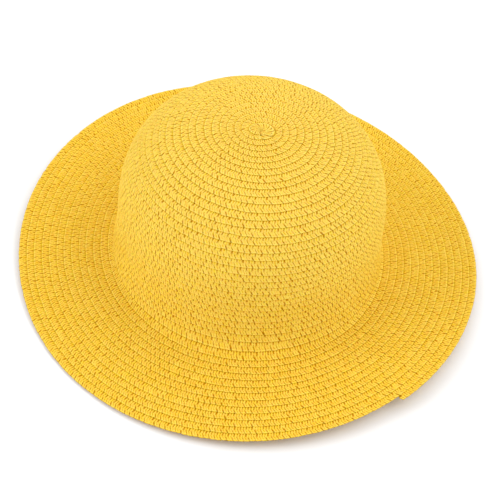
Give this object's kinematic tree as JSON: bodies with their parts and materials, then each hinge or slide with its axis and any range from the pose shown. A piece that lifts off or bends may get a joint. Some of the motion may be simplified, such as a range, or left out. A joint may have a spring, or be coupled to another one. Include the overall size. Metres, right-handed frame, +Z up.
{
  "type": "wide brim straw hat",
  "caption": "Straw sun hat with a rounded crown and a wide, slightly waved brim, sewn from lapped rows of plaited braid; the hollow crown takes a head.",
  "frame": {"origin": "on the surface that the hat rests on, below the middle of its outline seen from above", "axes": "+Z up through the tip of the crown, -Y towards the front of the hat, +X to the right as seen from the front"},
  "size_m": [0.319, 0.3366, 0.1189],
  "materials": {
    "crown_straw": "matte plaited straw, slightly bleached on top",
    "brim_straw": "matte plaited straw"
  },
  "bodies": {
    "root": {"crown": "crown_straw", "brim": "brim_straw", "edge_row": "brim_straw"}
  },
  "joints": []
}
